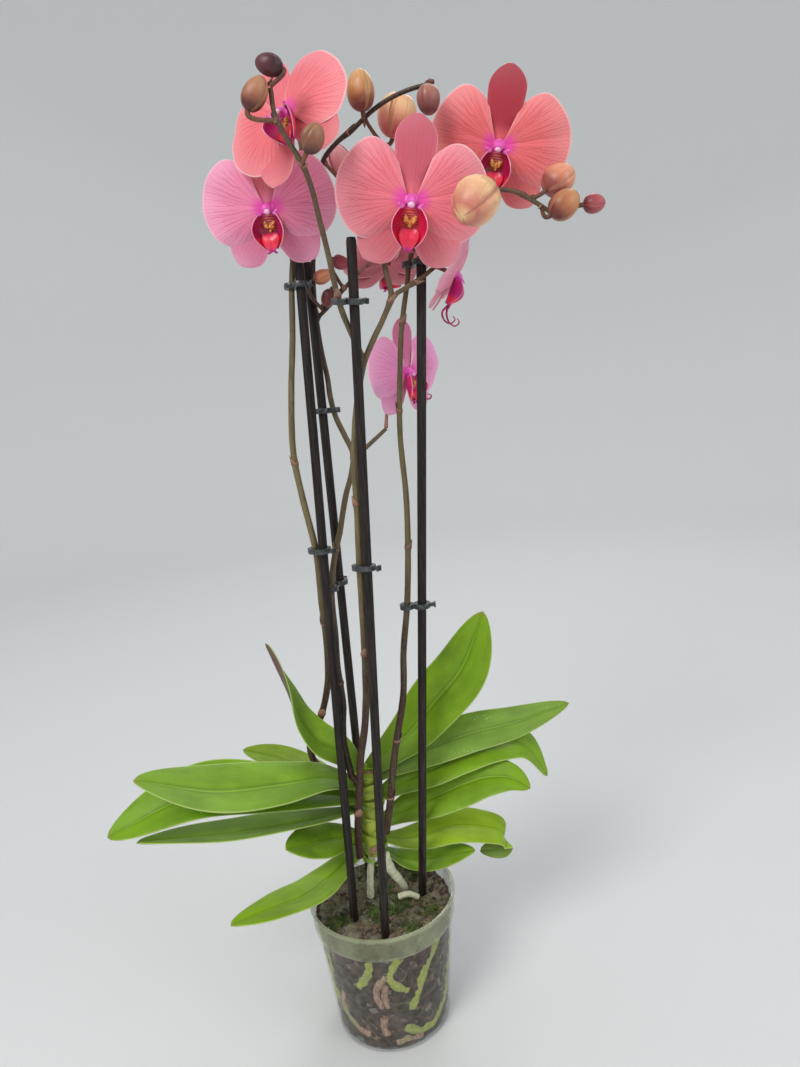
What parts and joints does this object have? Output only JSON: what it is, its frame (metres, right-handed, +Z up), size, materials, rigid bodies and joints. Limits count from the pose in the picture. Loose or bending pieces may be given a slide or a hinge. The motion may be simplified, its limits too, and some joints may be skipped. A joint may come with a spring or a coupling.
{
  "type": "potted orchid",
  "caption": "Potted moth orchid in a clear grower's pot: broad arching leaves and tall flower spikes clipped to dark stakes, with coral flowers and plump buds.",
  "frame": {"origin": "middle of the underside of the pot", "axes": "+Z up through the plant, -Y towards the side that the flowers face"},
  "size_m": [0.3922, 0.1617, 0.7225],
  "materials": {
    "clear_plastic": "clear, slightly milky, glossy",
    "bark_medium": "rough bark and coir",
    "leaf_green": "waxy, satin",
    "stem_brown": "satin, speckled",
    "stake_plastic": "matte dark brown",
    "clip_plastic": "glossy dark grey",
    "petal_coral": "satin, veined",
    "bud_skin": "satin",
    "root_white": "matte, silvery"
  },
  "bodies": {
    "root": {"branch_d": "stem_brown", "branch_f": "stem_brown", "branch_g": "stem_brown", "branch_k": "stem_brown", "bud_01": "bud_skin", "bud_02": "bud_skin", "bud_03": "bud_skin", "bud_04": "bud_skin", "bud_05": "bud_skin", "bud_06": "bud_skin", "bud_07": "bud_skin", "bud_08": "bud_skin", "bud_09": "bud_skin", "bud_10": "bud_skin", "bud_11": "bud_skin", "bud_12": "bud_skin", "clip_1": "clip_plastic", "clip_2": "clip_plastic", "clip_3": "clip_plastic", "clip_4": "clip_plastic", "clip_5": "clip_plastic", "clip_6": "clip_plastic", "clip_7": "clip_plastic", "clip_8": "clip_plastic", "crown_stem": "leaf_green", "flower_1": "petal_coral", "flower_2": "petal_coral", "flower_3": "petal_coral", "flower_4": "petal_coral", "flower_5": "petal_coral", "flower_6": "petal_coral", "flower_7": "petal_coral", "growing_medium": "bark_medium", "leaf_left_1": "leaf_green", "leaf_left_2": "leaf_green", "leaf_left_3": "leaf_green", "leaf_left_4": "leaf_green", "leaf_left_5": "leaf_green", "leaf_left_6": "leaf_green", "leaf_left_7": "leaf_green", "leaf_right_1": "leaf_green", "leaf_right_2": "leaf_green", "leaf_right_3": "leaf_green", "leaf_right_4": "leaf_green", "leaf_right_5": "leaf_green", "leaf_right_6": "leaf_green", "opening_bud_1": "bud_skin", "opening_bud_2": "bud_skin", "pot": "clear_plastic", "root_1": "root_white", "root_2": "root_white", "root_3": "root_white", "spike_a": "stem_brown", "spike_b": "stem_brown", "spike_c": "stem_brown", "spike_e": "stem_brown", "stake_1": "stake_plastic", "stake_2": "stake_plastic", "stake_3": "stake_plastic", "stake_4": "stake_plastic"}
  },
  "joints": []
}
